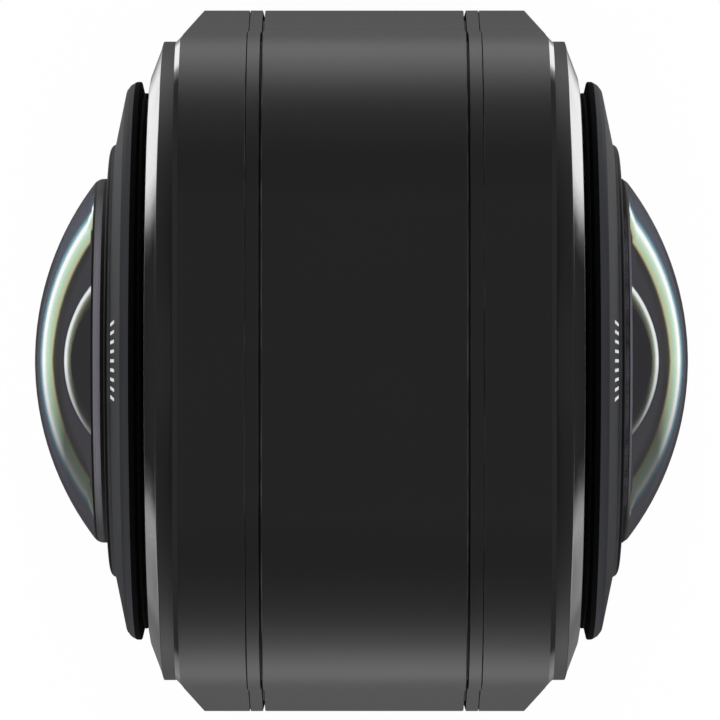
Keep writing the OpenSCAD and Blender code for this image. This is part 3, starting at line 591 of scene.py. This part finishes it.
def on_shell_slant(face):
    """The slanted edge around a head shell's outer face."""
    return 0.3 < abs(face.normal.y) < 0.95 and abs(face.center.y) > (FACE_Y - SHELL_SLANT) * MM


def behind_bezel(face):
    """The side and the back of a lens bezel."""
    return abs(face.center.y) < BEZEL_SIDE * MM


def plate_edge(centre):
    """Rounds a face plate's edges except those inside its lip, where the polished ring meets it."""
    return 0.0 if math.hypot(centre.x, centre.z - LENS_Z / MM) < LIP_BORE else 1.0


def crisp_plate(end):
    """A face plate's welded mesh, its edges crisp inside the lip."""
    grid = welded(end + "_face_plate")
    for edge in grid.edges:
        edge.smooth = plate_edge(edge_middle(edge)) > 0.0
    return grid


def on_lip(face):
    """The shallow lip around a face plate."""
    return 0.9 < abs(face.normal.y) < 0.99


def beside_ring(face):
    """The outer side of a retaining ring."""
    return abs(face.normal.y) < 0.6


for end in ("front", "rear"):
    soften(
        end + "_head_shell", 0.06, shell_edge, trim=POLISHED_EDGE, trimmed=on_shell_slant,
        grid=slanted_shell(end),
    )
    soften(end + "_seal_band", 0.05, segments=2)
    soften(
        end + "_face_plate", 0.05, plate_edge, finish=PLATE_BLACK, trim=LIP_BLACK, trimmed=on_lip,
        grid=crisp_plate(end),
    )
    soften(end + "_bevel_ring", 0.02, segments=2)
    bezel = soften(end + "_lens_bezel", 0.07, trim=NECK_BLACK, trimmed=behind_bezel)
    bezel.visible_glossy = False
    soften(
        end + "_retaining_ring", 0.10, finish=RING_BLACK, trim=FINISHES["bezel_black"], trimmed=beside_ring,
    )
    soften(end + "_neck_seal", 0.08, segments=2, finish=NECK_BLACK)
PLAIN_ROUNDS = {
    "head_frame": 0.10, "core_frame": 0.10, "core_front_cover": 0.2, "core_rear_cover": 0.2,
    "battery_case": 0.3, "display_window": 0.15, "port_door": 0.15,
}
for node, width in PLAIN_ROUNDS.items():
    soften(node, width)
soften("tripod_insert", INSERT_ROUND, segments=2)
for button in ("shutter_button", "power_button"):
    soften(button, 0.18, finish=button_finish(button))


COATED, HOLLOWED, GROUND, INKED = range(4)
FLANGE_IN = 0.5
DOME_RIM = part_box("front_dome_lens")[1].x - FLANGE_IN * MM
RING_FRONT = -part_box("front_retaining_ring")[0].y
INK_RISE = 0.27
INK_LINE = RING_FRONT + INK_RISE * MM
RIM_ROUND = 0.40
RIM_SIDE = 0.43
RIM_TURN = 0.62
DOME_SHARP = math.radians(8)


def dome_side(face):
    """Which finish a face of the domed glass has: coated outside, hollow, ground rim or inked mount."""
    slant = abs(face.normal.y)
    centre = face.calc_center_median()
    on_flange = math.hypot(centre.x, centre.z - LENS_Z) > DOME_RIM
    under_ring = slant > 0.99 and abs(centre.y) < RING_FRONT
    if on_flange or under_ring:
        return INKED
    if slant < 0.01:
        return GROUND if abs(centre.y) > INK_LINE else INKED
    return COATED if face.normal.y * centre.y > 0 else HOLLOWED


def dome(end):
    """The domed front glass, with a coated outside, a hollow, a ground rim and a blackened mount."""
    node = end + "_dome_lens"
    grid = welded(node)
    facing = -1 if end == "front" else 1
    bmesh.ops.bisect_plane(
        grid, geom=grid.verts[:] + grid.edges[:] + grid.faces[:], dist=1e-7,
        plane_co=(0, facing * INK_LINE, 0), plane_no=(0, 1, 0),
    )
    for face in grid.faces:
        face.smooth = True
        face.material_index = dome_side(face)
    rim = [
        edge for edge in grid.edges
        if {face.material_index for face in edge.link_faces} == {COATED, GROUND}
    ]
    line = bmesh.ops.bevel(
        grid, geom=rim, offset=RIM_ROUND * MM, offset_type="OFFSET", segments=4, profile=0.5, affect="EDGES",
    )
    side, turn = (GROUND, INKED) if end == "front" else (INKED, GROUND)
    for face in line["faces"]:
        slant = abs(face.normal.y)
        face.material_index = side if slant < RIM_SIDE else turn if slant < RIM_TURN else COATED
        face.smooth = True
    for edge in grid.edges:
        if len(edge.link_faces) == 2:
            edge.smooth = edge.calc_face_angle() < DOME_SHARP
    made = settle(node + "_piece", grid)
    show(made, node, DOME_COAT, DOME_HOLLOW, GROUND_EDGE_PAINTED_LIGHT, LENS_INK)


for end in ("front", "rear"):
    dome(end)


# Repeated details, made with Geometry Nodes

INTEGER, MATERIAL = "NodeSocketInt", "NodeSocketMaterial"


def detail_tree(name, **inputs):
    """An empty Geometry Nodes tree; the inputs give each named socket's type."""
    tree = bpy.data.node_groups.new(name, "GeometryNodeTree")
    for label, kind in inputs.items():
        tree.interface.new_socket(label, in_out="INPUT", socket_type=kind)
    tree.interface.new_socket("Shape", in_out="OUTPUT", socket_type="NodeSocketGeometry")
    source = tree.nodes.new("NodeGroupInput").outputs
    result = tree.nodes.new("NodeGroupOutput").inputs
    return tree, source, result


def put_out(tree, shape, material, result):
    """Ends a tree with plain faces in one material."""
    whole = add(tree, "GeometryNodeRealizeInstances", {"Geometry": shape}).outputs[0]
    dressed = add(tree, "GeometryNodeSetMaterial", {"Geometry": whole, "Material": material}).outputs[0]
    tree.links.new(dressed, result[0])


def grow(name, tree, **values):
    """A plain mesh from a Geometry Nodes tree, with the values given by the names of its inputs."""
    made = settle(name, bmesh.new())
    shape = made.modifiers.new("shape", "NODES")
    shape.node_group = tree
    for socket in tree.interface.items_tree:
        if socket.in_out == "INPUT":
            shape[socket.identifier] = values[socket.name]
    return bake(made)


def vector(tree, x=0.0, y=0.0, z=0.0):
    """A vector from its X, Y and Z."""
    return add(tree, "ShaderNodeCombineXYZ", {0: x, 1: y, 2: z}).outputs[0]


def make_tick_row():
    """Marks of one size on a cone about the Y axis, spread evenly about straight up."""
    tree, source, result = detail_tree(
        "tick_row", Count=INTEGER, Spread=FLOAT, Place=VECTOR, Lean=FLOAT, Width=FLOAT, Length=FLOAT,
        Rise=FLOAT, Finish=MATERIAL,
    )
    size = vector(tree, source["Width"], source["Rise"], source["Length"])
    mark = add(tree, "GeometryNodeMeshCube", {"Size": size}).outputs["Mesh"]
    leaning = vector(tree, source["Lean"])
    set_out = {"Geometry": mark, "Translation": source["Place"], "Rotation": leaning}
    mark = add(tree, "GeometryNodeTransform", set_out).outputs[0]
    points = add(tree, "GeometryNodeMeshLine", {"Count": source["Count"], "Offset": (0, 0, 0)}).outputs[0]
    last = calc(tree, "SUBTRACT", source["Count"], 1.0)
    share = calc(tree, "DIVIDE", add(tree, "GeometryNodeInputIndex").outputs[0], last)
    turn = times(tree, calc(tree, "SUBTRACT", share, 0.5), source["Spread"])
    spread = {"Points": points, "Instance": mark, "Rotation": vector(tree, 0.0, turn, 0.0)}
    row = add(tree, "GeometryNodeInstanceOnPoints", spread).outputs[0]
    put_out(tree, row, source["Finish"], result)
    return tree


TICK_ROW = make_tick_row()
TICK_PAINT = moulded("tick_paint", (0.86, 0.86, 0.87), 0.6, wear=0.0, dust=0.0)
TICK_COUNT = 9
TICK_SPREAD = math.radians(18)
TICK_RADIUS = 17.6
TICK_WIDTH = 0.24
TICK_LENGTH = 1.5
TICK_RISE = 0.03


def bezel_ticks(end):
    """A short row of plain marks on the upper side of a lens bezel."""
    facing = -1 if end == "front" else 1
    node = end + "_lens_bezel"
    start = Vector((0, facing * 0.05, LENS_Z + TICK_RADIUS * MM))
    bpy.context.view_layer.update()
    _, place, normal, _ = bpy.data.objects[node + "_piece"].ray_cast(start, Vector((0, -facing, 0)))
    lean = facing * math.atan2(normal.z, facing * normal.y)
    made = grow(
        end + "_bezel_ticks", TICK_ROW, Count=TICK_COUNT, Spread=TICK_SPREAD,
        Place=place - Vector((0, 0, LENS_Z)), Lean=lean, Width=TICK_WIDTH * MM, Length=TICK_LENGTH * MM,
        Rise=TICK_RISE * MM, Finish=TICK_PAINT,
    )
    made.data.transform(Matrix.Translation((0, 0, LENS_Z)))
    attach(made, bodies[node])


for end in ("front", "rear"):
    bezel_ticks(end)


def make_contact_row():
    """Flat strips along X, in a row along Z about the origin."""
    tree, source, result = detail_tree(
        "contact_row", Count=INTEGER, Step=FLOAT, Width=FLOAT, Length=FLOAT, Rise=FLOAT, Finish=MATERIAL,
    )
    size = vector(tree, source["Length"], source["Rise"], source["Width"])
    strip = add(tree, "GeometryNodeMeshCube", {"Size": size}).outputs["Mesh"]
    last = calc(tree, "SUBTRACT", source["Count"], 1.0)
    start = vector(tree, z=times(tree, times(tree, last, source["Step"]), -0.5))
    line = {"Count": source["Count"], "Start Location": start, "Offset": vector(tree, z=source["Step"])}
    points = add(tree, "GeometryNodeMeshLine", line).outputs[0]
    row = add(tree, "GeometryNodeInstanceOnPoints", {"Points": points, "Instance": strip}).outputs[0]
    put_out(tree, row, source["Finish"], result)
    return tree


CONTACT_ROW = make_contact_row()
CONTACT_GOLD = turned_metal("contact_gold", (0.83, 0.62, 0.28), 0.25, LENS_AXIS, depth=0.0)
TONGUE_HALF = 0.35
CONTACT_COUNT = 12
CONTACT_STEP = 0.5
CONTACT_SET = 0.9
CONTACT_WIDTH = 0.26
CONTACT_LENGTH = 3.6
CONTACT_RISE = 0.06


def port_contacts():
    """Gilt contacts on both faces of the port's tongue."""
    low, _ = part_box("port_socket")
    for name, sideways in (("port_contacts_front", -1), ("port_contacts_rear", 1)):
        made = grow(
            name, CONTACT_ROW, Count=CONTACT_COUNT, Step=CONTACT_STEP * MM, Width=CONTACT_WIDTH * MM,
            Length=CONTACT_LENGTH * MM, Rise=CONTACT_RISE * MM, Finish=CONTACT_GOLD,
        )
        place = middle("port_socket")
        place.x = low.x + (CONTACT_SET + CONTACT_LENGTH / 2) * MM
        place.y += sideways * TONGUE_HALF * MM
        made.data.transform(Matrix.Translation(place))
        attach(made, bodies["port_socket"])


port_contacts()


def make_inner_thread():
    """The wall of a tapped hole along Z: a right-hand thread that runs out at both ends."""
    tree, source, result = detail_tree(
        "inner_thread", Around=INTEGER, Along=INTEGER, Radius=FLOAT, Depth=FLOAT, Pitch=FLOAT, Height=FLOAT,
        Runout=FLOAT, Finish=MATERIAL,
    )
    sheet = {"Size X": 1.0, "Size Y": 1.0, "Vertices X": source["Around"], "Vertices Y": source["Along"]}
    grid = add(tree, "GeometryNodeMeshGrid", sheet).outputs["Mesh"]
    parts = split(tree, add(tree, "GeometryNodeInputPosition").outputs[0])
    share = calc(tree, "ADD", parts[0], 0.5)
    turn = times(tree, share, 2 * math.pi)
    up = times(tree, calc(tree, "ADD", parts[1], 0.5), source["Height"])
    phase = calc(tree, "FRACT", calc(tree, "SUBTRACT", calc(tree, "DIVIDE", up, source["Pitch"]), share))
    ridge = calc(tree, "ABSOLUTE", calc(tree, "SUBTRACT", times(tree, phase, 2.0), 1.0))
    groove = stretch(tree, ridge, 0.88, 0.12)
    to_end = calc(tree, "MINIMUM", up, calc(tree, "SUBTRACT", source["Height"], up))
    fade = stretch(tree, to_end, 0.0, source["Runout"])
    depth = times(tree, times(tree, groove, fade), source["Depth"])
    radius = calc(tree, "ADD", source["Radius"], depth)
    across = times(tree, radius, calc(tree, "COSINE", turn))
    ahead = times(tree, radius, calc(tree, "SINE", turn))
    moved = {"Geometry": grid, "Position": vector(tree, across, ahead, up)}
    wall = add(tree, "GeometryNodeSetPosition", moved).outputs[0]
    wall = add(tree, "GeometryNodeFlipFaces", {0: wall}).outputs[0]
    wall = add(tree, "GeometryNodeMergeByDistance", {"Geometry": wall, "Distance": 1e-6}).outputs[0]
    wall = add(tree, "GeometryNodeSetShadeSmooth", {"Geometry": wall}).outputs[0]
    put_out(tree, wall, source["Finish"], result)
    return tree


THREAD_AROUND = 97
THREAD_ALONG = 121
THREAD_RADIUS = 2.55
THREAD_DEPTH = 0.62
THREAD_PITCH = 1.27
THREAD_RUNOUT = 0.7
BORE_MARGIN = 0.05


def tripod_thread():
    """The quarter-inch thread inside the tripod insert, in place of the insert's plain bore."""
    low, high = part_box("tripod_insert")
    made = grow(
        "tripod_thread", make_inner_thread(), Around=THREAD_AROUND, Along=THREAD_ALONG,
        Radius=THREAD_RADIUS * MM, Depth=THREAD_DEPTH * MM, Pitch=THREAD_PITCH * MM,
        Height=high.z - low.z - 2 * INSERT_ROUND * MM, Runout=THREAD_RUNOUT * MM,
        Finish=FINISHES["insert_brass"],
    )
    made.data.transform(Matrix.Translation((0, 0, low.z + INSERT_ROUND * MM)))
    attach(made, bodies["tripod_insert"])


def open_bore(piece, radius):
    """Takes away the plain wall of a bore along Z."""
    grid = bmesh.new()
    grid.from_mesh(piece.data)
    wall = [
        face for face in grid.faces
        if abs(face.normal.z) < 0.05 and face.calc_center_median().xy.length < radius
    ]
    bmesh.ops.delete(grid, geom=wall, context="FACES")
    grid.to_mesh(piece.data)
    grid.free()


open_bore(bpy.data.objects["tripod_insert_piece"], (THREAD_RADIUS + BORE_MARGIN) * MM)
tripod_thread()


# Stage: floor, world and lamps

# The floor's colour for glossy rays is painted light and shade: FLOOR_SHADE is painted shade near the object
# and painted light further out at both sides, FLOOR_FAR is painted shade far ahead and behind, and the
# painted cards and patch are painted bright patches beside each lens, dimmed on the right.
FLOOR_SEEN = 0.94
FLOOR_SHADE_REACH = 1000.0
FLOOR_SHADE = [
    (0.0, grey(0.14)), (0.05, grey(0.18)), (0.10, grey(0.30)), (0.13, grey(0.47)), (0.17, grey(1.0)),
    (0.5, grey(1.0)), (1.0, grey(0.8)),
]
FLOOR_FAR = 0.025
STRIP_Y = (90.0, 160.0)
STRIP_SHIFT = 50.0
PAINTED_CARD_X = 115.0
PAINTED_CARD_Y = (54.0, 130.0)
PAINTED_CARD_SKEW = 0.36
PAINTED_PATCH_X = (14.0, 44.0)
PAINTED_PATCH_Y = (27.0, 112.0)
PAINTED_CARD_SOFT = 9.0
PAINTED_CARD_FADE_X = 36.0
PAINTED_CARD_FADE = 0.12
FLOOR_RADIUS = 3000.0
FLOOR_DROP = 0.02
FLOOR_MATT = grey(0.82)


def make_floor():
    """A wide white floor. What mirrors see on it is painted light and shade: painted light at both sides, a
    painted bright card beside each lens, and painted shade near the object, far ahead and behind, and on the
    right.
    """
    made, tree, shader, output = new_material("floor_white")
    tree.nodes.remove(shader)
    matt = add(tree, "ShaderNodeBsdfDiffuse", {"Color": FLOOR_MATT}).outputs[0]
    path = add(tree, "ShaderNodeLightPath").outputs
    parts = split(tree, on_object(tree))
    sideways = calc(tree, "ABSOLUTE", parts[0])
    ahead = calc(tree, "ABSOLUTE", parts[1])
    right = stretch(tree, parts[0], 0.0, PAINTED_CARD_FADE_X * MM)
    shifted = calc(tree, "ADD", ahead, times(tree, right, STRIP_SHIFT * MM))
    strip = stretch(tree, shifted, STRIP_Y[0] * MM, STRIP_Y[1] * MM, 1.0, 0.0)
    # painted light and shade seen only in reflections: darker near the object, bright at both sides, dark far
    # ahead and behind
    painted_side_light = ramp(tree, stretch(tree, sideways, 0.0, FLOOR_SHADE_REACH * MM), FLOOR_SHADE)
    painted_shade = blend(tree, strip, grey(FLOOR_FAR), painted_side_light)
    # painted bright cards beside each lens, seen only in reflections, with painted shade dimming them on the
    # right
    along = inside(tree, sideways, -1.0, PAINTED_CARD_X * MM, PAINTED_CARD_SOFT * MM)
    skewed = calc(tree, "SUBTRACT", ahead, times(tree, sideways, PAINTED_CARD_SKEW))
    beyond = stretch(tree, ahead, PAINTED_CARD_Y[0] * MM, (PAINTED_CARD_Y[0] + PAINTED_CARD_SOFT) * MM)
    short_of = stretch(tree, skewed, PAINTED_CARD_Y[1] * MM, (PAINTED_CARD_Y[1] - PAINTED_CARD_SOFT) * MM)
    wide = times(tree, along, times(tree, beyond, short_of))
    left = times(tree, parts[0], -1.0)
    beside = inside(tree, left, PAINTED_PATCH_X[0] * MM, PAINTED_PATCH_X[1] * MM, PAINTED_CARD_SOFT * MM)
    near = inside(tree, ahead, PAINTED_PATCH_Y[0] * MM, PAINTED_PATCH_Y[1] * MM, 2 * PAINTED_CARD_SOFT * MM)
    painted_card = calc(tree, "MAXIMUM", wide, times(tree, beside, near))
    painted_card_dimmed = times(tree, painted_card, stretch(tree, right, 0.0, 1.0, 1.0, PAINTED_CARD_FADE))
    mirrored = blend(tree, painted_card_dimmed, painted_shade, grey(1.0))
    # glossy rays see this painted reflection; camera and transmission rays see plain white
    colour = blend(tree, path["Is Glossy Ray"], grey(1.0), mirrored)
    bright = add(tree, "ShaderNodeEmission", {"Color": colour, "Strength": 1.0}).outputs[0]
    seen = calc(tree, "MAXIMUM", path["Is Camera Ray"], path["Is Transmission Ray"])
    share = calc(tree, "MAXIMUM", times(tree, seen, FLOOR_SEEN), path["Is Glossy Ray"])
    mixed = add(tree, "ShaderNodeMixShader", {0: share, 1: matt, 2: bright}).outputs[0]
    tree.links.new(mixed, output.inputs["Surface"])
    grid = bmesh.new()
    bmesh.ops.create_circle(grid, cap_ends=True, segments=64, radius=FLOOR_RADIUS * MM)
    bmesh.ops.translate(grid, verts=grid.verts, vec=(0, 0, cad_low.z - FLOOR_DROP * MM))
    floor = settle("floor", grid)
    floor.data.materials.append(made)


SKY_SIDES = [(0.0, grey(0.6)), (0.1, grey(0.3)), (0.25, grey(0.05)), (1.0, grey(0.01))]
SKY_AHEAD = [
    (0.0, grey(0.025)), (0.17, grey(0.025)), (0.26, grey(0.35)), (0.60, grey(0.35)), (0.70, grey(0.01)),
]


def make_world():
    """Studio surroundings: pale near the horizon, dark overhead, white where the camera sees them."""
    world = bpy.data.worlds.new("studio")
    bpy.context.scene.world = world
    world.use_nodes = True
    tree = world.node_tree
    tree.nodes.clear()
    parts = split(tree, add(tree, "ShaderNodeTexCoord").outputs["Generated"])
    sideways = stretch(tree, calc(tree, "ABSOLUTE", parts[0]), 0.3, 0.8)
    around = blend(tree, sideways, ramp(tree, parts[2], SKY_AHEAD), ramp(tree, parts[2], SKY_SIDES))
    path = add(tree, "ShaderNodeLightPath").outputs
    seen = calc(tree, "MAXIMUM", path["Is Camera Ray"], path["Is Transmission Ray"])
    colour = blend(tree, seen, around, grey(1.0))
    sky = add(tree, "ShaderNodeBackground", {"Color": colour, "Strength": 1.0}).outputs[0]
    output = tree.nodes.new("ShaderNodeOutputWorld")
    tree.links.new(sky, output.inputs["Surface"])


def lamp(name, place, target, width, height, power):
    """A soft rectangular lamp that mirrors don't show, aimed at a point; lengths are in millimetres."""
    light = bpy.data.lights.new(name, "AREA")
    light.shape = "RECTANGLE"
    light.size = width * MM
    light.size_y = height * MM
    light.energy = power
    made = bpy.data.objects.new(name, light)
    bpy.context.scene.collection.objects.link(made)
    made.location = Vector(place) * MM
    aim = Vector(target) * MM - made.location
    made.rotation_euler = aim.to_track_quat("-Z", "Y").to_euler()
    made.visible_camera = False
    made.visible_glossy = False


make_floor()
make_world()
HEAD = (0, 0, 110)
CORE = (0, 0, 60)
lamp("overhead_soft", (0, 0, 1400), HEAD, width=900, height=900, power=12.0)
for name, side in (("side_panel_left", -1), ("side_panel_right", 1)):
    lamp(name, (side * 620, 0, 300), CORE, width=900, height=260, power=5.0)


# Camera

CAMERA_PLACE = (-0.06, -0.33, 520.0)
LENS_LENGTH = 359.15
view = bpy.data.cameras.new("top_view")
view.lens = LENS_LENGTH
view.sensor_width = 36.0
camera = bpy.data.objects.new("top_view", view)
bpy.context.scene.collection.objects.link(camera)
camera.location = Vector(CAMERA_PLACE) * MM + Vector((0, 0, TOP_Z))
camera.rotation_euler = (0, 0, math.radians(90))
bpy.context.scene.camera = camera

bpy.context.scene.view_settings.view_transform = "Standard"
